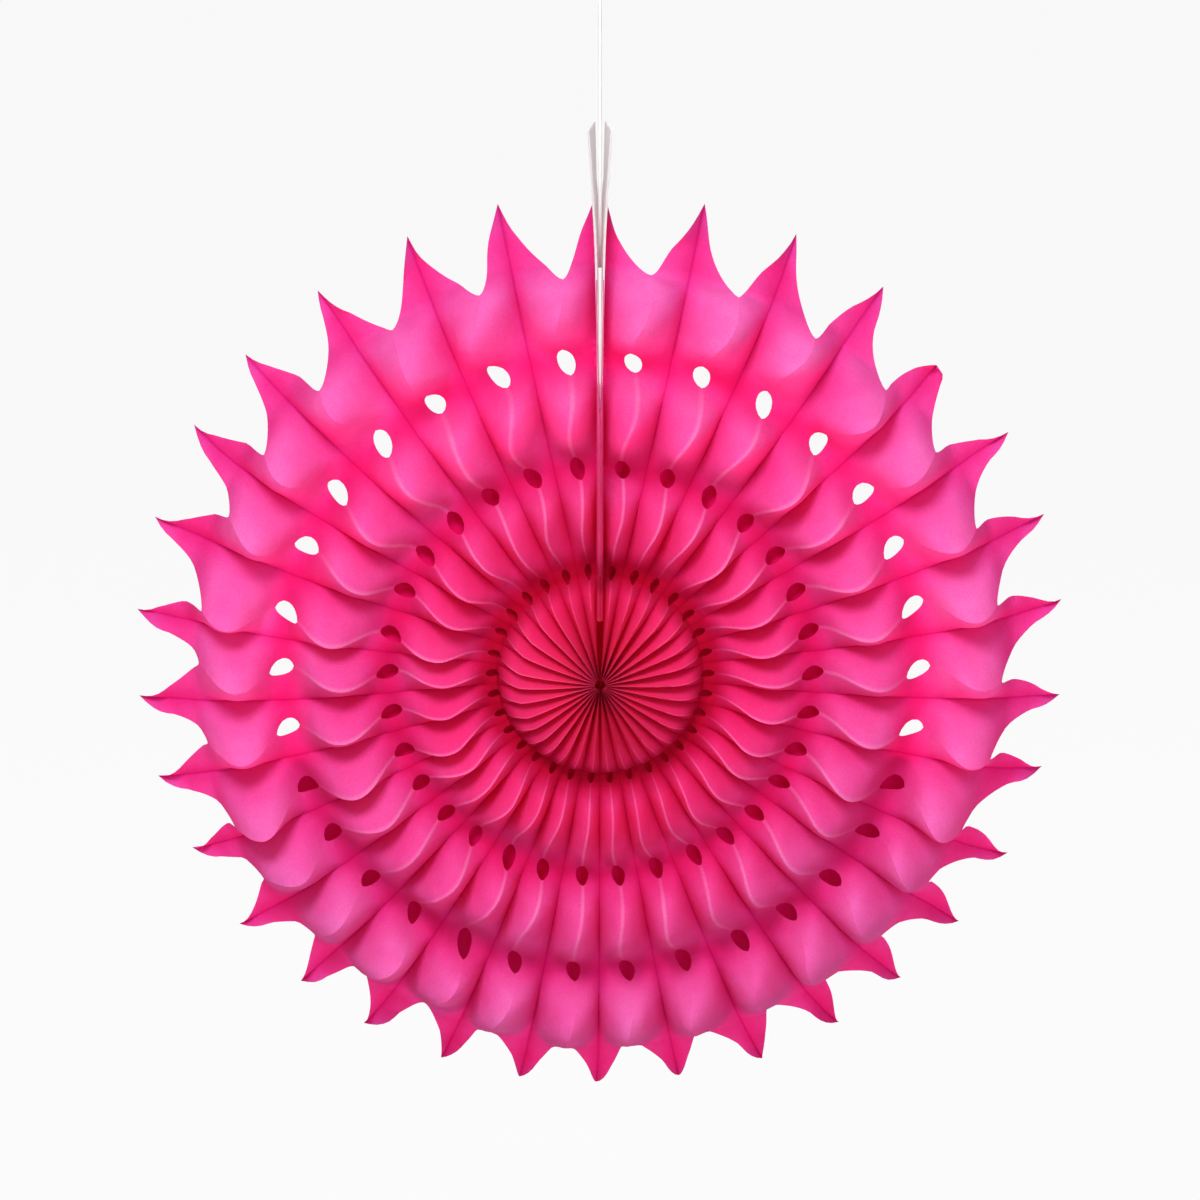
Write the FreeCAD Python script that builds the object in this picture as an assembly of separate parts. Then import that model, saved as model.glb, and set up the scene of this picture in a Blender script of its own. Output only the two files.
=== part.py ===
"""Hanging paper fan rosette: one pleated, die cut tissue disc closed by two edge cards, on a taut thread.

Millimetres. The origin is the inside of the hanging loop, where the hook bears.
+Z is up, the face of the fan looks to -Y, and the fan hangs in the XZ plane.
"""

import math
import os

import FreeCAD
import Part

# Fan sizes
TIP_RADIUS = 175.0
NOTCH_RADIUS = 150.0
INNER_RADIUS = 2.5
HUB_EDGE = 38.0
PLEATS = 32
CROWDING = 0.09
TISSUE = 0.25
MOST_SHIFT = 1.0

# Dome of the valley folds and waves of the ridge folds
DOME_DEPTH = 34.0
DOME_POWER = 4.4
HUB_RISE = 16.5
HUB_POWER = 4.0
CREST_RADIUS = 99.0
WAVE_LENGTH = 39.6
WAVE_MEAN = 0.8
WAVE_SWING = 0.95
SPIKE_FOLD = 0.25
SPIKE_FROM = 140.0
INNER_GAIN = 0.4
GAIN_RADIUS = 55.0
GAIN_SPREAD = 22.0

# Die cut holes on the ridge folds: radius, half length, half width
HOLES = ((40.0, 3.0, 1.5), (79.2, 4.6, 2.5), (118.8, 4.8, 2.9))
ROUNDED_FROM = 4.0
SHOULDER_LENGTH = 0.5
SHOULDER_WIDTH = 0.8

# Radii between the holes where a ridge fold bends
BENDS = (10.0, 18.0, 33.0, 48.0, 53.5, 59.4, 65.5, 71.0, 87.5, 93.0, 99.0, 105.0, 110.5, 128.0, 133.5, 138.6, 144.5)

# Outline of a spike: shares of the half pleat that are left from the notch to the tip
SPIKE_SHARES = (1.0, 0.70, 0.45, 0.26, 0.12, 0.0)
SPIKE_POWER = 1.6

# Plain second layer glued behind the valley folds: it closes the pleats behind the two inner rings of holes
BACK_RADII = (4.0, 12.0, 22.0, 36.0, 52.0, 70.0, 90.0, 108.0)
BACK_FOLD = 1.1
GLUE_GAP = 0.15

# Edge cards and what joins them
CARD = 0.8
CARD_WIDTH = 17.0
FOOT_WIDTH = 12.0
FOOT_WIDTH_TO = 93.0
FULL_WIDTH_FROM = 128.0
CARD_FOOT = 24.0
CARD_FACE = 1.1
HUB_CLOSING = 9.0
CARD_INSET = 0.6
PRONG_BACK = 8.0
PRONG_FRONT = 24.0
PRONG_HEIGHTS = (183.0, 190.0, 197.0, 204.0)
THREAD_ROOM = 0.5
SPLAY_FROM = 130.0
SPLAY = 2.3
SPLAY_POWER = 1.7
STRIP_FOOT = 40.0
STRIP_TOP = 110.5
STRIP_INSET = 3.5
END_PANEL = 16.0
FOLD_SHARE = 0.6

# Thread and its loop
THREAD = 1.2
THREAD_FOOT = 151.0
THREAD_FRONT = 17.0
LOOP_RADIUS = 5.0
LOOP_IN_KNOT = 0.8
KNOT_RADIUS = 1.5
KNOT_HEIGHT = 4.0
KNOT_ROUND = 0.6
LOOP_FACETS = 32
ROUND_FACETS = 10
FAN_DROP = 285.0

HALF_PLEAT = math.pi / PLEATS


def valley(radius):
    """How far a valley fold stands in front of the plane of the tips."""
    return DOME_DEPTH * (1.0 - (radius / TIP_RADIUS) ** DOME_POWER)


def ridge(radius):
    """How far a ridge fold stands in front of the valley folds beside it."""
    half = HALF_PLEAT * radius
    if radius < HUB_EDGE:
        return HUB_RISE * math.sqrt(1.0 - (radius / HUB_EDGE) ** HUB_POWER)
    wave = math.cos(2.0 * math.pi * (radius - CREST_RADIUS) / WAVE_LENGTH)
    share = WAVE_MEAN + WAVE_SWING * wave
    share *= 1.0 + INNER_GAIN * math.exp(-(((radius - GAIN_RADIUS) / GAIN_SPREAD) ** 2))
    if radius > SPIKE_FROM:
        share = max(share, SPIKE_FOLD)
    return half * share


def shift(radius):
    """Half of the sheet's extent along Y, which keeps the thickness across a steep panel."""
    slope = ridge(radius) / (HALF_PLEAT * radius)
    return 0.5 * min(MOST_SHIFT, TISSUE * math.hypot(1.0, slope))


def rise(value, low, high):
    """Share of the way from one value to another, held at 0 and 1 outside them."""
    return min(1.0, max(0.0, (value - low) / (high - low)))


def splay(height):
    """How far the cards have turned outwards at a height above the hub."""
    if height <= SPLAY_FROM:
        return 0.0
    share = (height - SPLAY_FROM) / (PRONG_HEIGHTS[-1] - SPLAY_FROM)
    return SPLAY * share ** SPLAY_POWER


def card_face(height, reach=0.0):
    """Distance from the seam plane to a card's outer face, a reach in front of its fold."""
    if height < CARD_FOOT:
        return CARD_FACE * (1.0 - math.exp(-((height / HUB_CLOSING) ** 2)))
    room = THREAD_ROOM * rise(height, STRIP_TOP, THREAD_FOOT)
    return CARD_FACE + room + splay(height) * reach / CARD_WIDTH


def card_width(height):
    return FOOT_WIDTH + (CARD_WIDTH - FOOT_WIDTH) * rise(height, FOOT_WIDTH_TO, FULL_WIDTH_FROM)


def stations():
    """Radii along a panel and the width that is cut away there from its ridge edge."""
    rows = [(INNER_RADIUS, 0.0), (CARD_FOOT, 0.0)]
    for radius in BENDS:
        rows.append((radius, 0.0))
    for radius, half_length, half_width in HOLES:
        rows.append((radius - half_length, 0.0))
        rows.append((radius + half_length, 0.0))
        rows.append((radius, half_width))
        if half_length > ROUNDED_FROM:
            rows.append((radius - SHOULDER_LENGTH * half_length, SHOULDER_WIDTH * half_width))
            rows.append((radius + SHOULDER_LENGTH * half_length, SHOULDER_WIDTH * half_width))
    return sorted(rows)


def world(x, front, height):
    """A point from its place across, in front of the tip plane and above the hub."""
    return FreeCAD.Vector(x, THREAD_FRONT - front, height - FAN_DROP)


def skins(x, front, height, radius):
    """The front and back points of the sheet at one place."""
    half = shift(radius)
    return world(x, front + half, height), world(x, front - half, height)


def turned(radius, fold, front):
    """A point on a fold, counted clockwise from the top; the lower folds hang a little closer together."""
    angle = fold * HALF_PLEAT
    angle += CROWDING * math.sin(angle)
    return radius * math.sin(angle), front, radius * math.cos(angle)


def between(a, b, share):
    return tuple(p + share * (q - p) for p, q in zip(a, b))


def panel_rows():
    """Radius, share of the panel kept, and whether the edge to the next row is on the fold."""
    rows = []
    for radius, cut in stations():
        half = HALF_PLEAT * radius
        rows.append((radius, 1.0 - cut / math.hypot(half, ridge(radius))))
    for share in SPIKE_SHARES:
        reach = (1.0 - share) ** SPIKE_POWER
        rows.append((NOTCH_RADIUS + (TIP_RADIUS - NOTCH_RADIUS) * reach, share))
    marked = []
    for here, after in zip(rows, rows[1:] + [(0.0, 0.0)]):
        marked.append((here[0], here[1], here[1] == 1.0 and after[1] == 1.0))
    return marked


def end_thickness(radius, low, high):
    """Thickness of the flat last panel, kept inside the fold that it starts from."""
    rise = ridge(radius)
    if rise <= 0.0:
        return TISSUE
    room = 2.0 * shift(radius) * abs(high[0] - low[0]) / rise
    return min(TISSUE, FOLD_SHARE * room)


def triangle(faces, a, b, c):
    """Adds a flat face unless two of its corners meet."""
    if min(a.distanceToPoint(b), b.distanceToPoint(c), c.distanceToPoint(a)) > 1e-6:
        faces.append(Part.Face(Part.makePolygon([a, b, c, a])))


def patch(faces, a, b, c, d):
    triangle(faces, a, b, c)
    triangle(faces, a, c, d)


def panel(faces, side, fold):
    """One panel between the valley fold and the ridge fold beside it, as front and back skins."""
    rows = []
    for radius, share, on_fold in panel_rows():
        seam = fold in (0, 2 * PLEATS)
        if seam:
            low = (side * card_face(radius), valley(radius), radius)
        else:
            low = turned(radius, fold, valley(radius))
        high = turned(radius, fold + side, valley(radius) + ridge(radius))
        valley_front, valley_back = skins(*low, radius)
        if seam:
            valley_front.x += side * end_thickness(radius, low, high)
        edge_front, edge_back = skins(*between(low, high, share), radius)
        if share == 0.0:
            edge_front, edge_back = valley_front, valley_back
        rows.append((valley_front, valley_back, edge_front, edge_back, on_fold))
    for here, after in zip(rows, rows[1:]):
        patch(faces, here[0], after[0], after[2], here[2])
        patch(faces, here[1], after[1], after[3], here[3])
        if not here[4]:
            patch(faces, here[2], after[2], after[3], here[3])
    first = rows[0]
    patch(faces, first[0], first[2], first[3], first[1])
    return rows


def end_panel(faces, side, rows):
    """The last panel, laid flat on the outer face of an edge card."""
    radii = [row[0] for row in panel_rows()]
    spans = []
    for (radius, share, _), row in zip(panel_rows(), rows):
        if radius < CARD_FOOT:
            continue
        width = END_PANEL if radius <= NOTCH_RADIUS else END_PANEL * share
        outer, inner = row[0], row[1]
        turn = side * (card_face(radius, width) - card_face(radius))
        front_inner = FreeCAD.Vector(inner.x + turn, inner.y - width, inner.z)
        front_outer = FreeCAD.Vector(outer.x + turn, inner.y - width, outer.z)
        if width == 0.0:
            front_inner, front_outer = inner, outer
        spans.append((outer, inner, front_outer, front_inner))
    for here, after in zip(spans, spans[1:]):
        for i, j in ((1, 3), (3, 2), (2, 0)):
            patch(faces, here[i], after[i], after[j], here[j])
    foot = spans[0]
    patch(faces, foot[0], foot[2], foot[3], foot[1])
    for index in range(radii.index(CARD_FOOT)):
        here, after = rows[index], rows[index + 1]
        patch(faces, here[0], after[0], after[1], here[1])


def sewn(faces):
    """One solid from the faces of its whole skin."""
    shell = Part.makeShell(faces)
    shell.sewShape()
    solid = Part.Solid(shell)
    if solid.Volume < 0.0:
        solid.reverse()
    return solid


def pleated_tissue():
    """The whole folded sheet: two panels to a pleat and a flat one at each end."""
    faces = []
    first = panel(faces, 1, 0)
    for pleat in range(1, PLEATS):
        panel(faces, -1, 2 * pleat)
        panel(faces, 1, 2 * pleat)
    last = panel(faces, -1, 2 * PLEATS)
    end_panel(faces, 1, first)
    end_panel(faces, -1, last)
    return sewn(faces)


def back_line(fold):
    """The two skins of the second layer along a fold; odd folds stand out to the back."""
    half = 0.5 * TISSUE * math.hypot(1.0, BACK_FOLD)
    line = []
    for radius in BACK_RADII:
        front = valley(radius) - 0.5 * MOST_SHIFT - half - GLUE_GAP
        if fold % 2:
            front -= BACK_FOLD * HALF_PLEAT * radius
        x, front, height = turned(radius, fold, front)
        if fold in (0, 2 * PLEATS):
            x = card_face(radius) if fold == 0 else -card_face(radius)
            height = radius
        line.append((world(x, front + half, height), world(x, front - half, height)))
    return line


def back_tissue():
    """The unpunched second layer, folded to the back between the valley folds."""
    faces = []
    lines = [back_line(fold) for fold in range(2 * PLEATS + 1)]
    for here, beside in zip(lines, lines[1:]):
        for i in range(len(here) - 1):
            for skin in (0, 1):
                patch(faces, here[i][skin], here[i + 1][skin], beside[i + 1][skin], beside[i][skin])
        for i in (0, len(here) - 1):
            patch(faces, here[i][0], here[i][1], beside[i][1], beside[i][0])
    for line in (lines[0], lines[-1]):
        for low, high in zip(line, line[1:]):
            patch(faces, low[0], low[1], high[1], high[0])
    return sewn(faces)


def plank(points, x_from, x_to):
    """A plate with an outline in the YZ plane between two planes across."""
    corners = [world(x_from, front, height) for front, height in points]
    face = Part.Face(Part.makePolygon(corners + corners[:1]))
    return face.extrude(FreeCAD.Vector(x_to - x_from, 0.0, 0.0))


def card_heights():
    heights = [row[0] for row in panel_rows() if row[0] >= CARD_FOOT]
    return heights + list(PRONG_HEIGHTS)


def card_edges(height):
    """How far a card's back and front edges stand in front of the tip plane."""
    back = valley(min(height, TIP_RADIUS)) + CARD_INSET
    front = valley(min(height, NOTCH_RADIUS)) + card_width(height)
    front += rise(height, NOTCH_RADIUS, TIP_RADIUS) * (PRONG_FRONT - front)
    back += rise(height, TIP_RADIUS, PRONG_HEIGHTS[0]) * (PRONG_BACK - back)
    return back, front


def end_card(side):
    """A card whose back edge lies in the last valley fold and whose top turns open to the front."""
    rows = []
    for height in card_heights():
        fold = valley(min(height, TIP_RADIUS))
        row = []
        for front in card_edges(height):
            outer = card_face(height, front - fold) - GLUE_GAP
            row.append(world(side * outer, front, height))
            row.append(world(side * (outer - CARD), front, height))
        rows.append(row)
    faces = []
    for here, after in zip(rows, rows[1:]):
        for i, j in ((0, 1), (1, 3), (3, 2), (2, 0)):
            patch(faces, here[i], after[i], after[j], here[j])
    for row in (rows[0], rows[-1]):
        patch(faces, row[0], row[1], row[3], row[2])
    return sewn(faces)


def adhesive_strip():
    """Double sided strip that holds the two cards face to face."""
    heights = [STRIP_FOOT] + [h for h in card_heights() if STRIP_FOOT < h < STRIP_TOP] + [STRIP_TOP]
    back = [(valley(h) + STRIP_INSET, h) for h in heights]
    front = [(valley(h) + card_width(h) - STRIP_INSET, h) for h in heights]
    half_gap = CARD_FACE - GLUE_GAP - CARD
    return plank(back + front[::-1], -half_gap, half_gap)


def loop_foot():
    return -2.0 * LOOP_RADIUS - LOOP_IN_KNOT * THREAD


def hanging_thread():
    """Taut thread from its glued end between the cards up to the knot."""
    foot = THREAD_FOOT - FAN_DROP
    length = loop_foot() - KNOT_HEIGHT - foot
    return Part.makeCylinder(0.5 * THREAD, length, FreeCAD.Vector(0.0, 0.0, foot))


def tube(faces, rings):
    """Joins rings of points in order, each with as many points as the next."""
    for here, after in zip(rings, rings[1:]):
        for i in range(ROUND_FACETS):
            j = (i + 1) % ROUND_FACETS
            patch(faces, here[i], after[i], after[j], here[j])


def ring_point(turn, side):
    """A point on the loop, from the share of the way round it and round its thread."""
    round_loop = 2.0 * math.pi * turn / LOOP_FACETS
    round_thread = 2.0 * math.pi * side / ROUND_FACETS
    reach = LOOP_RADIUS + 0.5 * THREAD + 0.5 * THREAD * math.cos(round_thread)
    height = reach * math.cos(round_loop) - LOOP_RADIUS
    return FreeCAD.Vector(reach * math.sin(round_loop), 0.5 * THREAD * math.sin(round_thread), height)


def knot():
    """A short stud with chamfered ends round the foot of the loop."""
    foot = loop_foot() - KNOT_HEIGHT
    top = loop_foot() + 0.5 * THREAD
    small = KNOT_RADIUS - KNOT_ROUND
    layers = ((foot, small), (foot + KNOT_ROUND, KNOT_RADIUS), (top - KNOT_ROUND, KNOT_RADIUS), (top, small))
    angles = [2.0 * math.pi * side / ROUND_FACETS for side in range(ROUND_FACETS)]
    rings = [[FreeCAD.Vector(wide * math.cos(a), wide * math.sin(a), z) for a in angles] for z, wide in layers]
    faces = [Part.Face(Part.makePolygon(ring + ring[:1])) for ring in (rings[0], rings[-1])]
    tube(faces, rings)
    return sewn(faces)


def thread_loop():
    """The loop at the thread's top with the knot that closes it."""
    rings = [[ring_point(turn, side) for side in range(ROUND_FACETS)] for turn in range(LOOP_FACETS)]
    faces = []
    tube(faces, rings + rings[:1])
    return sewn(faces).fuse(knot()).Solids[0]


def main():
    os.makedirs("parts", exist_ok=True)
    pieces = {
        "pleated_tissue": pleated_tissue(),
        "back_tissue": back_tissue(),
        "end_card_left": end_card(-1),
        "end_card_right": end_card(1),
        "adhesive_strip": adhesive_strip(),
        "hanging_thread": hanging_thread(),
        "thread_loop": thread_loop(),
    }
    for name, shape in pieces.items():
        box = shape.BoundBox
        print(name, shape.ShapeType, shape.isValid(), round(shape.Volume, 1), "faces", len(shape.Faces))
        print("  box", [round(v, 2) for v in (box.XMin, box.XMax, box.YMin, box.YMax, box.ZMin, box.ZMax)])
        shape.exportStep("parts/" + name + ".step")


main()
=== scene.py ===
"""Looks of the hanging paper fan rosette: magenta tissue, white edge cards and a white thread."""

import math

import bmesh
import bpy
import numpy as np
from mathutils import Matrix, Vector, noise


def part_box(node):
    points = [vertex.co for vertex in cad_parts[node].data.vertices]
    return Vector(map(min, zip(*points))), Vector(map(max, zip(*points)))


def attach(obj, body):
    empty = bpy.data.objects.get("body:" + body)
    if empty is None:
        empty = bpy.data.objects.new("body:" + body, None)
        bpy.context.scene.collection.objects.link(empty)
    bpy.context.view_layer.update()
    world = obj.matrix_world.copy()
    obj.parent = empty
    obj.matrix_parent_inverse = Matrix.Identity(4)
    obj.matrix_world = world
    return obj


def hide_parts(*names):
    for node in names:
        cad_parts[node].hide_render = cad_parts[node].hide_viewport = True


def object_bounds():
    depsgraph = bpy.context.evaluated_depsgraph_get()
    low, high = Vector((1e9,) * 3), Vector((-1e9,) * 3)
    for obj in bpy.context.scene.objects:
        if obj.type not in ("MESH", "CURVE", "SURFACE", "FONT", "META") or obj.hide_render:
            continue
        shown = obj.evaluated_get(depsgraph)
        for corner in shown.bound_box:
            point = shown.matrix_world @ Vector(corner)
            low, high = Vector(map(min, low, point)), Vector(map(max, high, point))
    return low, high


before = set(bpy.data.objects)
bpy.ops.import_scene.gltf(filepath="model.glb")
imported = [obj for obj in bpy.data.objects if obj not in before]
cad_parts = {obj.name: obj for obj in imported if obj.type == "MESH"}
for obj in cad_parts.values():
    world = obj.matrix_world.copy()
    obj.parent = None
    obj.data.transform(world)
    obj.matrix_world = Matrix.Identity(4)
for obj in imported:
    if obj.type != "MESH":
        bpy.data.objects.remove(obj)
first_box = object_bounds()

MM = 0.001

# Fan sizes in millimetres, as in the CAD source
PLEATS = 32
HALF_PLEAT = math.pi / PLEATS
CROWDING = 0.09
TIP_RADIUS = 175.0
NOTCH_RADIUS = 150.0
HUB_EDGE = 38.0
FAN_DROP = 285.0

# Dome of the valley folds and waves of the ridge folds, as in the CAD source
DOME_DEPTH = 34.0
DOME_POWER = 4.4
HUB_RISE = 16.5
HUB_POWER = 4.0
CREST_RADIUS = 99.0
WAVE_LENGTH = 39.6
WAVE_MEAN = 0.8
WAVE_SWING = 0.95
SPIKE_FOLD = 0.25
SPIKE_FROM = 140.0
SPIKE_POWER = 1.6
INNER_GAIN = 0.4
GAIN_RADIUS = 55.0
GAIN_SPREAD = 22.0

# Edge cards, strip, thread and end panels, as in the CAD source
CARD_FOOT = 24.0
CARD_TOP = 204.0
CARD_WIDTH = 17.0
CARD_FACE = 1.1
FOOT_WIDTH = 12.0
FOOT_WIDTH_TO = 93.0
FULL_WIDTH_FROM = 128.0
HUB_CLOSING = 9.0
STRIP_TOP = 110.5
SPLAY_FROM = 130.0
SPLAY = 2.3
SPLAY_POWER = 1.7
THREAD_ROOM = 0.5
THREAD_FOOT = 151.0
THREAD_FRONT = 17.0
END_PANEL = 16.0

# Up to half a millimetre off the CAD source. A hole: radius, half length, half width
INNER_RADIUS = 2.0
HOLES = ((40.0, 2.7, 1.4), (79.2, 4.2, 2.7), (118.8, 4.5, 3.1))
HOLE_POWER = 0.6

# Only here: the lips of the end panels, which lean over the cards' front edges low down
LIP = 0.8
LIP_GAP = 0.12
LIP_OPENING = 1.0
LIP_CLOSED_TO = 100.0
LIP_OPEN_FROM = 140.0
END_STAND_OFF = 0.12

# Layer behind the valley folds, folded as in the CAD source. Only here it lies a little further
# back, reaches lower at the bottom and closes the centre
BACK_FOLD = 1.1
BACK_FROM = 0.03
BACK_RIM = 108.0
BACK_RIM_LOW = 137.0
BACK_LOW_START = -1.2
BACK_LOW_RISE = 6.0
BACK_CLOSED_TO = 42.0
BACK_GAP = 0.8
BACK_FALL = 6.0
BACK_FALL_FROM = 92.0
BACK_FALL_POWER = 1.5
BACK_BULGE = 0.08
# Marks across the back layer, which give it the painted fold shade
BACK_MARK_FROM = 0.1
BACK_MARK_RISE = 0.8

# Meshes: rows and columns of the panels, and lengths in millimetres
RADIAL_STEP = 1.5
LEAST_STEP = 0.35
HOLE_ROWS = 7
SPIKE_STEPS = 14
ACROSS = 8
END_STEPS = 8
BACK_ROWS = 36
BACK_COLUMNS = 5
THREAD_POINTS = 5
JOIN_WITHIN = 0.004
SHORTEST_EDGE = 0.002
SHARP_ANGLE = 50.0
VALLEY_MARK = 0.001

# Looseness of the hand opened paper
SEED = 11
FOLD_JITTER = 0.0055
RIDGE_JITTER = 1.5 * FOLD_JITTER
DEPTH_JITTER = 0.9
WAVE_JITTER = 0.13
CREST_JITTER = 1.7
FULLNESS = 0.12
SNAKE = 0.015
SNAKE_JITTER = 0.7
LOBE_SAG = 0.5
LOBE_SAG_JITTER = 0.12
HUB_FILL = 8.0
HUB_LEAN_RIGHT = 0.35
HUB_LEAN_LEFT = 0.85
HUB_LEAN_OVER = 8.0
TIP_BEND = 3.0
TIP_SWING = 1.2
BULGE = 0.05
BULGE_LOSS = 0.2
BULGE_LEAST = 0.1
SHARP_TO = 55.0
ROUND_FROM = 112.0
SHARP_FOLD = 0.25
ROUND_FOLD = 0.55
CURLED_FOLD = 4
CURL_FROM = 163.0
CURL_RADIUS = 5.0

# Wrinkles: depth in millimetres, scale of the noise and where it starts; calm near hub and seam
SLOW_WRINKLE = (1.1, 0.045, Vector((0.0, 0.0, 0.0)))
FINE_WRINKLE = (0.42, 0.16, Vector((7.0, 3.0, 1.0)))
SHARP_WRINKLE = (0.30, 0.09, Vector((2.0, 9.0, 4.0)))
HUB_CALM_TO = 60.0
SEAM_CALM_TO = 2.0
SEAM_CALM_FADE = 8.0

# Tones of the tissue, multiplied together: from the hub to the tips, its clouds and fibres, from
# a valley fold to a ridge fold, from the low to the high parts of a ridge, and along its crest.
# All but the clouds and fibres hold painted light: painted shade by the hub, in the valleys and at
# the low parts of the ridges, and painted highlights on the ridges and along their crests
BLACK = (0.0, 0.0, 0.0)
WHITE = (1.0, 1.0, 1.0)
# The tissue's colour from the hub to the tips, with painted shade: darker towards the centre of
# the hub and darkest in a band over the groove round the hub's edge. The paler pink outwards is
# partly painted sheen
TISSUE_AND_SHADE_FROM_HUB = (
    (0.0, (0.70, 0.022, 0.11)),
    (0.08, (0.88, 0.032, 0.17)),
    (0.19, (0.90, 0.036, 0.20)),
    (0.212, (0.66, 0.012, 0.09)),
    (0.25, (0.68, 0.012, 0.10)),
    (0.29, (0.95, 0.045, 0.28)),
    (0.55, (0.95, 0.105, 0.48)),
    (0.8, (0.93, 0.180, 0.62)),
    (1.0, (0.92, 0.195, 0.66)),
)
CLOUDS = ((0.30, (0.99, 0.75, 0.88)), (0.70, (1.0, 1.25, 1.10)))
FIBRES = ((0.35, (0.98, 0.80, 0.92)), (0.70, (1.0, 1.15, 1.06)))
# Painted shade from a valley fold, darkest in its crease, towards a ridge fold, and a painted
# highlight at the ridge
FOLD_SHADE_TONES = (
    (0.0, (0.74, 0.16, 0.50)),
    (0.045, (0.95, 0.38, 0.70)),
    (0.30, (1.0, 0.74, 0.88)),
    (0.70, WHITE),
    (1.0, (1.0, 1.1, 1.05)),
)
# Painted shade where a ridge lies low at the rings of holes, fading to none where it stands high
LOBE_SHADE_TONES = ((0.0, (0.90, 0.22, 0.50)), (0.35, (0.96, 0.60, 0.78)), (0.75, WHITE))
# Painted highlight along a ridge crest, palest at the middle radii, shown in the last strip of the
# panel before the ridge
CREST_HIGHLIGHT = (
    (0.18, (1.08, 2.2, 1.45)),
    (0.30, (1.05, 3.4, 1.8)),
    (0.50, (1.02, 2.4, 1.35)),
    (0.72, WHITE),
)
CREST_HIGHLIGHT_BAND = ((0.88, BLACK), (0.97, WHITE))
SEEN_THROUGH = (1.0, 0.12, 0.32)
BACK_SHADE = (0.66, 0.14, 0.58)

# Share of the light that comes through
THROUGH = 0.48
BACK_THROUGH = 0.08
CARD_THROUGH = 0.65
STRIP_THROUGH = 0.0

# Noises: scale, detail, roughness. Bumps: strength, distance in metres
CLOUD_NOISE = (38.0, 5.0, 0.55)
FIBRE_NOISE = (1400.0, 3.0, 0.7)
CRUMPLE_NOISE = (210.0, 6.0, 0.6)
BROAD_NOISE = (25.0, 3.0, 0.55)
FLOOR_NOISE = (3.0, 2.0, 0.55)
CRUMPLE_BUMP = (0.35, 0.0009)
FIBRE_BUMP = (0.25, 0.00012)
TWIST_BUMP = (0.6, 0.00015)
TWIST_ANGLE = 35.0

# Surfaces: the tissue is matte and hardly glossy, the white pieces are fibrous
TISSUE_ROUGHNESS = 0.75
TISSUE_SPECULAR = 0.06
PLAIN_SPECULAR = 0.3
PLAIN_FIBRE_STOPS = (0.32, 0.66)
PLAIN_BROAD_STOPS = (0.35, 0.65)
PLAIN_BROAD_SHARE = 0.35
PLAIN_BUMP_STRENGTH = 0.4

# Tones of the white pieces, the floor and the room
CARD_TONES = ((0.90, 0.87, 0.87), (0.97, 0.95, 0.95))
STRIP_TONES = ((0.70, 0.69, 0.66), (0.80, 0.79, 0.76))
THREAD_TONES = ((0.1, (0.66, 0.62, 0.62)), (0.6, (0.88, 0.86, 0.85)))
FLOOR_TONES = ((0.3, (0.40, 0.40, 0.40)), (0.7, (0.43, 0.43, 0.43)))
ROOM_TONES = ((0.0, (0.10, 0.10, 0.11)), (1.0, WHITE))

# Floor and light, in metres. A lamp: name, place from the hub, size, watts
FLOOR_SIZE = 12.0
FLOOR_BEHIND = 2.0
FLOOR_DROP = 0.35
FLOOR_GLOW = 0.93
ROOM_LIGHT = 0.50
ROOM_DARK_BELOW = -0.6
LAMPS = (
    ("key", (-0.35, -1.25, 1.3), 0.7, 32.0),
    ("fill", (0.5, -1.9, 0.2), 1.2, 14.0),
    ("rear", (0.1, 1.2, 1.0), 0.8, 22.0),
)

# Camera: the photograph's viewing angle in degrees, closer in; lengths in metres, sensor in mm
ELEVATION = 15.5
DISTANCE = 2.2
VIEW_WIDTH = 0.447
AIM_ABOVE_HUB = 0.0275
SENSOR_WIDTH = 36.0
CLIP_END = 50.0


def valley(radius):
    """How far a valley fold stands in front of the plane of the tips."""
    return DOME_DEPTH * (1.0 - (radius / TIP_RADIUS) ** DOME_POWER)


def hub_dome(radius):
    """1 at the centre, falling to 0 at the edge of the hub and staying there."""
    return np.sqrt(np.maximum(0.0, 1.0 - (radius / HUB_EDGE) ** HUB_POWER))


def wave_phase(radius, crest):
    return 2.0 * math.pi * (radius - CREST_RADIUS - crest) / WAVE_LENGTH


def ridge(radius, swing=1.0, crest=0.0):
    """How far a ridge fold stands in front of the valleys, with its own swing and crest."""
    phase = wave_phase(radius, crest)
    wave = np.cos(phase) + FULLNESS * (1.0 - np.cos(2.0 * phase))
    share = WAVE_MEAN + WAVE_SWING * swing * wave
    share = share * (1.0 + INNER_GAIN * np.exp(-(((radius - GAIN_RADIUS) / GAIN_SPREAD) ** 2)))
    share = np.where(radius > SPIKE_FROM, np.maximum(share, SPIKE_FOLD), share)
    return np.where(radius < HUB_EDGE, HUB_RISE * hub_dome(radius), HALF_PLEAT * radius * share)


def splay(height):
    """How far a card's front edge opens sideways at a height above the hub."""
    share = np.clip((height - SPLAY_FROM) / (CARD_TOP - SPLAY_FROM), 0.0, 2.0)
    return SPLAY * share ** SPLAY_POWER


def card_face(height, reach=0.0):
    """Distance from the seam plane to a card's outer face, a reach in front of its fold."""
    bare = CARD_FACE * (1.0 - np.exp(-((height / HUB_CLOSING) ** 2)))
    room = THREAD_ROOM * np.clip((height - STRIP_TOP) / (THREAD_FOOT - STRIP_TOP), 0.0, 1.0)
    held = CARD_FACE + room + splay(height) * reach / CARD_WIDTH
    return np.where(height >= CARD_FOOT, held, bare)


def card_width(height):
    share = np.clip((height - FOOT_WIDTH_TO) / (FULL_WIDTH_FROM - FOOT_WIDTH_TO), 0.0, 1.0)
    return FOOT_WIDTH + (CARD_WIDTH - FOOT_WIDTH) * share


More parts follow.
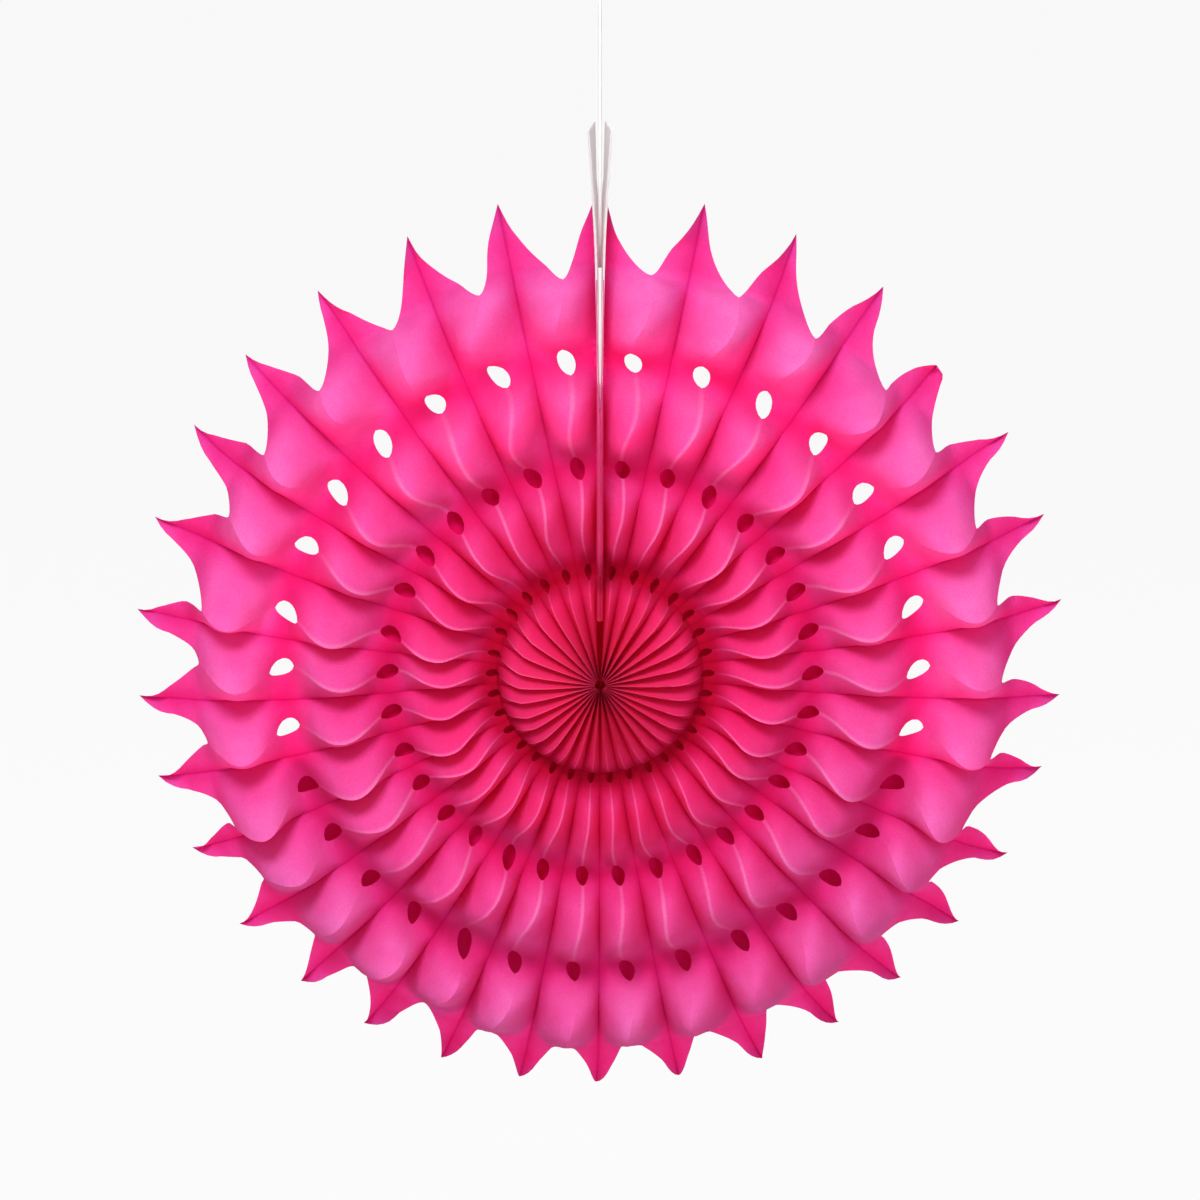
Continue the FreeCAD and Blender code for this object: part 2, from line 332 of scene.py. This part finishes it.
def stations():
    """Radii along a panel and the share of its width that is kept there."""
    radii = list(np.arange(INNER_RADIUS, NOTCH_RADIUS, RADIAL_STEP))
    turns = np.linspace(-0.5, 0.5, HOLE_ROWS) * math.pi
    for middle, half_length, _ in HOLES:
        radii += [middle + half_length * math.sin(turn) for turn in turns]
    radii = sorted(radii)
    kept = [radii[0]]
    for radius in radii[1:]:
        if radius - kept[-1] > LEAST_STEP:
            kept.append(radius)
    rows = []
    for radius in kept:
        cut = 0.0
        for middle, half_length, half_width in HOLES:
            place = abs(radius - middle) / half_length
            if place < 1.0:
                cut = half_width * (1.0 - place ** 2) ** HOLE_POWER
        width = math.hypot(HALF_PLEAT * radius, float(ridge(np.float64(radius))))
        rows.append((radius, 1.0 - cut / width))
    for step in range(SPIKE_STEPS + 1):
        share = 1.0 - step / SPIKE_STEPS
        out = (1.0 - share) ** SPIKE_POWER
        rows.append((NOTCH_RADIUS + (TIP_RADIUS - NOTCH_RADIUS) * out, share))
    return np.array(rows)


ROWS = stations()
RADII = ROWS[:, 0]
KEPT = ROWS[:, 1]
RANDOM = np.random.default_rng(SEED)
VALLEY_TURN = RANDOM.normal(0.0, FOLD_JITTER, PLEATS + 1)
RIDGE_TURN = RANDOM.normal(0.0, RIDGE_JITTER, PLEATS)
VALLEY_DEPTH = RANDOM.normal(0.0, DEPTH_JITTER, PLEATS + 1)
RIDGE_SWING = 1.0 + RANDOM.normal(0.0, WAVE_JITTER, PLEATS)
RIDGE_CREST = RANDOM.normal(0.0, CREST_JITTER, PLEATS)
RIDGE_SNAKE = SNAKE * (1.0 + RANDOM.normal(0.0, SNAKE_JITTER, PLEATS))
RIDGE_SAG = LOBE_SAG + RANDOM.normal(0.0, LOBE_SAG_JITTER, PLEATS)
TIPS_BEND = RANDOM.normal(0.0, TIP_BEND, PLEATS + 1)
TIPS_SWING = RANDOM.normal(0.0, TIP_SWING, PLEATS + 1)
VALLEY_TURN[[0, -1]] = 0.0
VALLEY_DEPTH[[0, -1]] = 0.0
TIPS_BEND[[0, -1, CURLED_FOLD]] = 0.0
TIPS_SWING[[0, -1]] = 0.0


def fold_angle(fold):
    """Direction of a fold, clockwise from the top; the lower folds hang closer together."""
    return fold * HALF_PLEAT + CROWDING * math.sin(fold * HALF_PLEAT)


def fold_point(radius, angle, front):
    return np.stack([radius * np.sin(angle), front, radius * np.cos(angle)], axis=-1)


def seam_side(turn):
    """Which side of the seam the first or the last valley fold lies on."""
    return 1.0 if turn == 0 else -1.0


def valley_line(index):
    """The points of a valley fold; the first and last lie against the cards.

    The innermost folds are only half pressed, so their valleys lie further out.
    """
    front = valley(RADII) + VALLEY_DEPTH[index] * (RADII / TIP_RADIUS) + HUB_FILL * hub_dome(RADII)
    if index in (0, PLEATS):
        return np.stack([seam_side(index) * card_face(RADII), front, RADII], axis=-1)
    angle = fold_angle(2 * index) + VALLEY_TURN[index] * RADII / TIP_RADIUS
    return fold_point(RADII, angle, front)


def ridge_line(index):
    """The points of a ridge fold, which snakes and sags between the rings of holes."""
    front = valley(RADII) + ridge(RADII, RIDGE_SWING[index], RIDGE_CREST[index])
    phase = wave_phase(RADII, RIDGE_CREST[index])
    loose = np.clip((RADII - HUB_EDGE) / (0.5 * WAVE_LENGTH), 0.0, 1.0)
    snake = RIDGE_SNAKE[index] * loose * np.sin(phase)
    angle = fold_angle(2 * index + 1)
    lean = HUB_LEAN_RIGHT if angle < math.pi else HUB_LEAN_LEFT
    sag = lean * np.clip((HUB_EDGE - RADII) / HUB_LEAN_OVER, 0.0, 1.0)
    sag = sag + RIDGE_SAG[index] * loose * (0.5 + 0.5 * np.cos(phase))
    turned = angle + RIDGE_TURN[index] + snake + sag * HALF_PLEAT * math.sin(angle)
    return fold_point(RADII, turned, front)


def lobe_marks():
    """Along a ridge fold: 0 where it lies low at the rings of holes, 1 where it stands high."""
    height = ridge(RADII) / (HALF_PLEAT * RADII)
    return np.clip((height - WAVE_MEAN + WAVE_SWING) / (2.0 * WAVE_SWING), 0.0, 1.0)


def bent_tips(points, index):
    """Bends a spike: every tip a little, and one of them rolled over to the front."""
    out = np.clip((RADII - NOTCH_RADIUS) / (TIP_RADIUS - NOTCH_RADIUS), 0.0, 1.0)[:, None] ** 2
    angle = fold_angle(2 * index)
    across = np.array([math.cos(angle), 0.0, -math.sin(angle)])
    along = np.array([math.sin(angle), 0.0, math.cos(angle)])
    bend = TIPS_SWING[index] * across + np.array([0.0, TIPS_BEND[index], 0.0])
    points = points + out[..., None] * bend
    if index == CURLED_FOLD:
        past = np.maximum(points @ along - CURL_FROM, 0.0)
        turn = past / CURL_RADIUS
        points = points + (CURL_RADIUS * np.sin(turn) - past)[..., None] * along
        points[..., 1] += CURL_RADIUS * (1.0 - np.cos(turn))
    return points


def panel_points(low, high, index):
    """Grid of a panel from its valley fold to its ridge edge; outer ridges are softly rounded."""
    share = np.linspace(0.0, 1.0, ACROSS + 1)[None, :] * KEPT[:, None]
    points = low[:, None, :] + share[..., None] * (high - low)[:, None, :]
    width = np.linalg.norm(high - low, axis=-1)[:, None]
    grow = np.clip(RADII / HUB_EDGE - BULGE_LOSS, BULGE_LEAST, 1.0)[:, None]
    points[..., 1] += BULGE * grow * width * np.sin(math.pi * share)
    way = np.clip((RADII - SHARP_TO) / (ROUND_FROM - SHARP_TO), 0.0, 1.0)
    roundness = SHARP_FOLD + (ROUND_FOLD - SHARP_FOLD) * way
    points[..., 1] += (roundness * (high - low)[:, 1])[:, None] * share * (1.0 - share)
    return bent_tips(points, index), share


def wrinkle(point):
    """Small dents of crumpled tissue at a place, in millimetres towards the viewer."""
    place = Vector(point)
    slow, fine, sharp = (
        noise.noise(place * scale + start)
        for _, scale, start in (SLOW_WRINKLE, FINE_WRINKLE, SHARP_WRINKLE)
    )
    sharp = 1.0 - 2.0 * abs(sharp)
    return SLOW_WRINKLE[0] * slow + FINE_WRINKLE[0] * fine + SHARP_WRINKLE[0] * sharp


def grid_faces(base, rows, columns):
    """Faces of a grid whose points follow each other row by row from the one numbered base."""
    corners = (base + i * columns + j for i in range(rows - 1) for j in range(columns - 1))
    return [(a, a + 1, a + 1 + columns, a + columns) for a in corners]


def tissue_object():
    """The whole front sheet in one mesh, with its folds, holes and spikes."""
    vertices = []
    faces = []
    marks = []
    along = RADII / TIP_RADIUS
    lobes = lobe_marks()
    for index in range(PLEATS):
        ridge_points = ridge_line(index)
        for turn in (index, index + 1):
            points, share = panel_points(valley_line(turn), ridge_points, turn)
            faces += grid_faces(len(vertices), *points.shape[:2])
            for i, row in enumerate(points):
                vertices += list(row)
                marks += [(along[i], across, lobes[i]) for across in share[i]]
    add_end_panels(vertices, faces, marks)
    points = np.array(vertices)
    off_hub = np.clip(points[:, 2] ** 2 + points[:, 0] ** 2, 0.0, HUB_CALM_TO ** 2)
    off_seam = np.clip((np.abs(points[:, 0]) - SEAM_CALM_TO) / SEAM_CALM_FADE, 0.0, 1.0)
    off_seam = np.where(points[:, 2] > 0.0, off_seam, 1.0)
    dents = np.array([wrinkle(point) for point in points])
    points[:, 1] += off_hub / HUB_CALM_TO ** 2 * off_seam * dents
    return sheet_object("tissue_sheet", points, faces, marks)


def add_end_panels(vertices, faces, marks):
    """The flat last panels on the cards' outer faces; low down their lips close over the cards."""
    held = [i for i, radius in enumerate(RADII) if radius >= CARD_FOOT]
    for side in (1.0, -1.0):
        faces += grid_faces(len(vertices), len(held), END_STEPS + 1)
        for i in held:
            radius = RADII[i]
            card = float(card_width(radius))
            in_spike = radius > NOTCH_RADIUS
            width = END_PANEL * KEPT[i] if in_spike else max(END_PANEL, card + LIP)
            opened = (radius - LIP_CLOSED_TO) / (LIP_OPEN_FROM - LIP_CLOSED_TO)
            gap = LIP_GAP + LIP_OPENING * np.clip(opened, 0.0, 1.0)
            for step in range(END_STEPS + 1):
                reach = width * step / END_STEPS
                stand_off = END_STAND_OFF if step else 0.0
                face = float(card_face(np.float64(radius), reach)) + stand_off
                lean = np.clip((reach - card) / max(width - card, LIP), 0.0, 1.0)
                face += lean * (gap - face)
                vertices.append(np.array([side * face, valley(radius) + reach, radius]))
                marks.append((radius / TIP_RADIUS, step / END_STEPS, 1.0))


def back_edge(radii, turn, hang):
    """The points of the back layer along a valley fold; the first and last stay by the cards."""
    angle = fold_angle(2 * turn) + VALLEY_TURN[turn] * radii / TIP_RADIUS
    front = valley(radii) + VALLEY_DEPTH[turn] * radii / TIP_RADIUS - hang
    edge = fold_point(radii, angle, front)
    if turn in (0, PLEATS):
        apart = np.where(radii < BACK_CLOSED_TO, 0.0, card_face(radii))
        edge[:, 0] = seam_side(turn) * apart
        edge[:, 2] = radii
    return edge


def back_object():
    """The unpunched layer behind the valley folds, folded to the back.

    At the bottom it reaches lower and hangs a little away.
    """
    vertices = []
    faces = []
    marks = []
    for index in range(PLEATS):
        down = -math.cos(fold_angle(2 * index + 1))
        low = min(1.0, max(0.0, BACK_LOW_START + BACK_LOW_RISE * down))
        rim = BACK_RIM + low * (BACK_RIM_LOW - BACK_RIM)
        radii = np.linspace(BACK_FROM, rim, BACK_ROWS)
        fall = np.clip((radii - BACK_FALL_FROM) / (BACK_RIM_LOW - BACK_FALL_FROM), 0.0, 1.0)
        hang = BACK_GAP + BACK_FALL * low * fall ** BACK_FALL_POWER
        middle = fold_angle(2 * index + 1) + RIDGE_TURN[index]
        behind = valley(radii) - hang - BACK_FOLD * HALF_PLEAT * radii
        deep = fold_point(radii, middle, behind)
        for turn in (index, index + 1):
            edge = back_edge(radii, turn, hang)
            faces += grid_faces(len(vertices), BACK_ROWS, BACK_COLUMNS)
            for i, radius in enumerate(radii):
                for share in np.linspace(0.0, 1.0, BACK_COLUMNS):
                    point = edge[i] + share * (deep[i] - edge[i])
                    point[1] -= BACK_BULGE * HALF_PLEAT * radius * math.sin(math.pi * share)
                    vertices.append(point)
                    # These marks give the back layer painted shade: the fold shade across it and
                    # the low-ridge shade all over
                    mark = BACK_MARK_FROM + BACK_MARK_RISE * share
                    marks.append((radius / TIP_RADIUS, mark, 0.0))
    return sheet_object("back_sheet", np.array(vertices), faces, marks)


def sheet_object(name, points, faces, marks):
    """A mesh of thin sheet from points in millimetres, with seams joined and valleys crisp."""
    front = THREAD_FRONT - points[:, 1]
    placed = np.stack([points[:, 0], front, points[:, 2] - FAN_DROP], axis=-1) * MM
    mesh = bpy.data.meshes.new(name)
    mesh.from_pydata(placed.tolist(), [], faces)
    for slot, mark in enumerate(("along", "across", "lobe")):
        layer = mesh.attributes.new(mark, "FLOAT", "POINT")
        layer.data.foreach_set("value", np.array(marks, np.float32)[:, slot].copy())
    work = bmesh.new()
    work.from_mesh(mesh)
    bmesh.ops.remove_doubles(work, verts=work.verts, dist=JOIN_WITHIN * MM)
    bmesh.ops.dissolve_degenerate(work, edges=work.edges, dist=SHORTEST_EDGE * MM)
    work.to_mesh(mesh)
    work.free()
    mesh.shade_smooth()
    mesh.set_sharp_from_angle(angle=math.radians(SHARP_ANGLE))
    across = mesh.attributes["across"].data
    for edge in mesh.edges:
        if all(across[i].value < VALLEY_MARK for i in edge.vertices):
            edge.use_edge_sharp = True
    sheet = bpy.data.objects.new(name, mesh)
    bpy.context.scene.collection.objects.link(sheet)
    return sheet


def new_material(name):
    material = bpy.data.materials.new(name)
    material.use_nodes = True
    nodes = material.node_tree.nodes
    nodes.clear()
    return material, nodes, material.node_tree.links


def node(nodes, kind, **values):
    """A new node; a value goes to the socket of that name, or else to the node's own setting."""
    made = nodes.new(kind)
    for key, value in values.items():
        if key in made.inputs:
            made.inputs[key].default_value = value
        else:
            setattr(made, key, value)
    return made


def noise_node(nodes, links, coordinates, scale, detail, roughness):
    made = node(nodes, "ShaderNodeTexNoise", Scale=scale, Detail=detail, Roughness=roughness)
    links.new(coordinates, made.inputs["Vector"])
    return made.outputs["Fac"]


def ramp(nodes, links, value, stops):
    made = nodes.new("ShaderNodeValToRGB")
    while len(made.color_ramp.elements) < len(stops):
        made.color_ramp.elements.new(0.5)
    for element, (place, colour) in zip(made.color_ramp.elements, stops):
        element.position = place
        element.color = (*colour, 1.0)
    links.new(value, made.inputs["Fac"])
    return made.outputs["Color"]


def mixed(nodes, links, factor, first, second, blend="MIX"):
    """Two colours mixed; the factor and each colour is a fixed value or the socket to link."""
    made = node(nodes, "ShaderNodeMix", data_type="RGBA", blend_type=blend)
    if isinstance(factor, float):
        made.inputs[0].default_value = factor
    else:
        links.new(factor, made.inputs[0])
    for value, socket in ((first, made.inputs[6]), (second, made.inputs[7])):
        if isinstance(value, tuple):
            socket.default_value = (*value, 1.0)
        else:
            links.new(value, socket)
    return made.outputs[2]


def tinted(nodes, links, base, tone):
    return mixed(nodes, links, 1.0, base, tone, "MULTIPLY")


def bump(nodes, links, height, strength, distance, normal=None):
    made = node(nodes, "ShaderNodeBump", Strength=strength, Distance=distance)
    links.new(height, made.inputs["Height"])
    if normal is not None:
        links.new(normal, made.inputs["Normal"])
    return made.outputs["Normal"]


def blended(nodes, links, factor, first, second):
    """Two shaders mixed; the factor is a fixed value or the socket to link."""
    made = nodes.new("ShaderNodeMixShader")
    if isinstance(factor, float):
        made.inputs[0].default_value = factor
    else:
        links.new(factor, made.inputs[0])
    links.new(first.outputs[0], made.inputs[1])
    links.new(second.outputs[0], made.inputs[2])
    return made


def show(nodes, links, shader, kind="ShaderNodeOutputMaterial"):
    output = nodes.new(kind)
    links.new(shader.outputs[0], output.inputs["Surface"])


def tissue_material(name, shade, through_share):
    """Thin magenta tissue with painted shade in the folds and by the hub, painted highlights on
    the ridges, and light that comes through.
    """
    material, nodes, links = new_material(name)
    place = nodes.new("ShaderNodeTexCoord").outputs["Object"]
    cloud = noise_node(nodes, links, place, *CLOUD_NOISE)
    fibre = noise_node(nodes, links, place, *FIBRE_NOISE)
    crumple = noise_node(nodes, links, place, *CRUMPLE_NOISE)
    along, across, lobe = (
        node(nodes, "ShaderNodeAttribute", attribute_name=mark).outputs["Fac"]
        for mark in ("along", "across", "lobe")
    )
    base = ramp(nodes, links, along, TISSUE_AND_SHADE_FROM_HUB)
    # The clouds and fibres are the tissue's own; the fold and lobe tones are painted shade and
    # highlight
    tones = ((cloud, CLOUDS), (fibre, FIBRES), (across, FOLD_SHADE_TONES), (lobe, LOBE_SHADE_TONES))
    for value, stops in tones:
        base = tinted(nodes, links, base, ramp(nodes, links, value, stops))
    # Painted highlight along the ridge crests
    highlighted = tinted(nodes, links, base, ramp(nodes, links, along, CREST_HIGHLIGHT))
    base = mixed(nodes, links, ramp(nodes, links, across, CREST_HIGHLIGHT_BAND), base, highlighted)
    base = tinted(nodes, links, base, shade)
    rough = bump(nodes, links, crumple, *CRUMPLE_BUMP)
    rough = bump(nodes, links, fibre, *FIBRE_BUMP, rough)
    surface = node(nodes, "ShaderNodeBsdfPrincipled", Roughness=TISSUE_ROUGHNESS)
    surface.inputs["Specular IOR Level"].default_value = TISSUE_SPECULAR
    through = nodes.new("ShaderNodeBsdfTranslucent")
    links.new(base, surface.inputs["Base Color"])
    links.new(tinted(nodes, links, base, SEEN_THROUGH), through.inputs["Color"])
    links.new(rough, surface.inputs["Normal"])
    links.new(rough, through.inputs["Normal"])
    show(nodes, links, blended(nodes, links, through_share, surface, through))
    return material


def plain_material(name, tones, scale, roughness, depth, through_share):
    """A matte fibrous white: two close tones, a fibre bump and light that comes through."""
    material, nodes, links = new_material(name)
    place = nodes.new("ShaderNodeTexCoord").outputs["Object"]
    fibre = noise_node(nodes, links, place, scale, detail=5.0, roughness=0.65)
    broad = noise_node(nodes, links, place, *BROAD_NOISE)
    base = ramp(nodes, links, fibre, list(zip(PLAIN_FIBRE_STOPS, tones)))
    broad_tone = ramp(nodes, links, broad, list(zip(PLAIN_BROAD_STOPS, tones)))
    base = mixed(nodes, links, PLAIN_BROAD_SHARE, base, broad_tone)
    surface = node(nodes, "ShaderNodeBsdfPrincipled", Roughness=roughness)
    surface.inputs["Specular IOR Level"].default_value = PLAIN_SPECULAR
    through = nodes.new("ShaderNodeBsdfTranslucent")
    links.new(base, surface.inputs["Base Color"])
    links.new(base, through.inputs["Color"])
    fibre_bump = bump(nodes, links, fibre, strength=PLAIN_BUMP_STRENGTH, distance=depth)
    links.new(fibre_bump, surface.inputs["Normal"])
    show(nodes, links, blended(nodes, links, through_share, surface, through))
    return material


def thread_material():
    """White yarn with the slanting ridges of its twist."""
    material, nodes, links = new_material("thread_white")
    place = nodes.new("ShaderNodeTexCoord").outputs["Object"]
    turned = node(nodes, "ShaderNodeMapping", Rotation=(0.0, math.radians(TWIST_ANGLE), 0.0))
    links.new(place, turned.inputs["Vector"])
    twist = node(
        nodes, "ShaderNodeTexWave", Scale=420.0, Distortion=0.6, Detail=2.0, bands_direction="Z"
    )
    links.new(turned.outputs[0], twist.inputs["Vector"])
    surface = node(nodes, "ShaderNodeBsdfPrincipled", Roughness=0.8)
    surface.inputs["Sheen Weight"].default_value = 0.3
    base = ramp(nodes, links, twist.outputs["Fac"], THREAD_TONES)
    links.new(base, surface.inputs["Base Color"])
    ridges = bump(nodes, links, twist.outputs["Fac"], *TWIST_BUMP)
    links.new(ridges, surface.inputs["Normal"])
    show(nodes, links, surface)
    return material


def thread_object():
    """The taut thread on the route of its CAD node, with its lower end, length and diameter."""
    low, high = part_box("hanging_thread")
    middle = (low + high) / 2.0
    curve = bpy.data.curves.new("thread_run", "CURVE")
    curve.dimensions = "3D"
    spline = curve.splines.new("NURBS")
    heights = np.linspace(low.z, high.z, THREAD_POINTS)
    spline.points.add(len(heights) - 1)
    for point, height in zip(spline.points, heights):
        point.co = (middle.x, middle.y, height, 1.0)
    spline.order_u = 3
    spline.use_endpoint_u = True
    curve.bevel_depth = (high.x - low.x) / 2.0
    curve.bevel_resolution = 4
    curve.use_fill_caps = True
    thread = bpy.data.objects.new("thread_run", curve)
    bpy.context.scene.collection.objects.link(thread)
    return thread, Vector((middle.x, middle.y, low.z)), high.z - low.z, high.x - low.x


def white_stage():
    """A pale floor well below the fan that shows white and keeps its shadow."""
    low, _ = first_box
    place = (0.0, FLOOR_BEHIND, low.z - FLOOR_DROP)
    bpy.ops.mesh.primitive_plane_add(size=FLOOR_SIZE, location=place)
    floor = bpy.context.object
    floor.name = "floor"
    material, nodes, links = new_material("floor_white")
    place = nodes.new("ShaderNodeTexCoord").outputs["Object"]
    tone = ramp(nodes, links, noise_node(nodes, links, place, *FLOOR_NOISE), FLOOR_TONES)
    lit = nodes.new("ShaderNodeBsdfDiffuse")
    links.new(tone, lit.inputs["Color"])
    glow = node(nodes, "ShaderNodeEmission", Strength=1.0)
    rays = nodes.new("ShaderNodeLightPath")
    seen = node(nodes, "ShaderNodeMath", operation="MAXIMUM")
    links.new(rays.outputs["Is Camera Ray"], seen.inputs[0])
    links.new(rays.outputs["Is Glossy Ray"], seen.inputs[1])
    part = node(nodes, "ShaderNodeMath", operation="MULTIPLY")
    part.inputs[1].default_value = FLOOR_GLOW
    links.new(seen.outputs[0], part.inputs[0])
    show(nodes, links, blended(nodes, links, part.outputs[0], lit, glow))
    floor.data.materials.append(material)


def room_light():
    """Soft light from all around, darker from below, that the camera sees as plain white."""
    world = bpy.data.worlds.new("room")
    bpy.context.scene.world = world
    world.use_nodes = True
    nodes, links = world.node_tree.nodes, world.node_tree.links
    nodes.clear()
    soft = node(nodes, "ShaderNodeBackground", Strength=ROOM_LIGHT)
    height = nodes.new("ShaderNodeSeparateXYZ")
    links.new(nodes.new("ShaderNodeTexCoord").outputs["Generated"], height.inputs[0])
    lift = nodes.new("ShaderNodeMapRange")
    lift.inputs["From Min"].default_value = ROOM_DARK_BELOW
    links.new(height.outputs["Z"], lift.inputs["Value"])
    links.new(ramp(nodes, links, lift.outputs[0], ROOM_TONES), soft.inputs["Color"])
    white = node(nodes, "ShaderNodeBackground", Strength=1.0, Color=(*WHITE, 1.0))
    camera_ray = nodes.new("ShaderNodeLightPath").outputs["Is Camera Ray"]
    blend = blended(nodes, links, camera_ray, soft, white)
    show(nodes, links, blend, "ShaderNodeOutputWorld")


def lamp(name, place, aim, size, watts):
    data = bpy.data.lights.new(name, "AREA")
    data.shape = "DISK"
    data.size = size
    data.energy = watts
    made = bpy.data.objects.new(name, data)
    bpy.context.scene.collection.objects.link(made)
    made.location = place
    made.rotation_euler = (aim - place).to_track_quat("-Z", "Y").to_euler()


def camera(hub):
    """Looks down on the face at the photograph's angle, level across."""
    tilt = math.radians(ELEVATION)
    back = Vector((0.0, -math.cos(tilt), math.sin(tilt)))
    up = Vector((0.0, math.sin(tilt), math.cos(tilt)))
    aim = hub + up * AIM_ABOVE_HUB
    data = bpy.data.cameras.new("camera")
    data.sensor_width = SENSOR_WIDTH
    data.lens = SENSOR_WIDTH * DISTANCE / VIEW_WIDTH
    data.clip_end = CLIP_END
    made = bpy.data.objects.new("camera", data)
    bpy.context.scene.collection.objects.link(made)
    made.location = aim + back * DISTANCE
    made.rotation_euler = (-back).to_track_quat("-Z", "Y").to_euler()
    bpy.context.scene.camera = made


def dress_sheets():
    """Puts the drawn sheets in the place of the two CAD sheets."""
    tissue = tissue_material("tissue_magenta", WHITE, THROUGH)
    behind = tissue_material("tissue_behind", BACK_SHADE, BACK_THROUGH)
    sheets = (
        (tissue_object(), "pleated_tissue", tissue),
        (back_object(), "back_tissue", behind),
    )
    for sheet, stands_for, paper in sheets:
        sheet.data.materials.append(paper)
        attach(sheet, "root")
        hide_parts(stands_for)


def dress_white_pieces():
    """Gives the cards, strip and loop their looks, and draws the thread."""
    card = plain_material(
        "card_white", CARD_TONES,
        scale=700.0, roughness=0.85, depth=0.0002, through_share=CARD_THROUGH,
    )
    strip = plain_material(
        "strip_white", STRIP_TONES,
        scale=1200.0, roughness=0.7, depth=0.0001, through_share=STRIP_THROUGH,
    )
    yarn = thread_material()
    looks = {
        "end_card_left": card,
        "end_card_right": card,
        "adhesive_strip": strip,
        "thread_loop": yarn,
    }
    for name, material in looks.items():
        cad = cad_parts[name]
        cad.data.materials.clear()
        cad.data.materials.append(material)
    thread, leaves, length, diameter = thread_object()
    thread.data.materials.append(yarn)
    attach(thread, "root")
    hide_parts("hanging_thread")


def main():
    hub = Vector((0.0, (THREAD_FRONT - DOME_DEPTH) * MM, -FAN_DROP * MM))
    dress_sheets()
    dress_white_pieces()
    white_stage()
    room_light()
    for name, offset, size, watts in LAMPS:
        lamp(name, hub + Vector(offset), hub, size, watts)
    camera(hub)
    bpy.context.scene.view_settings.view_transform = "Standard"


main()
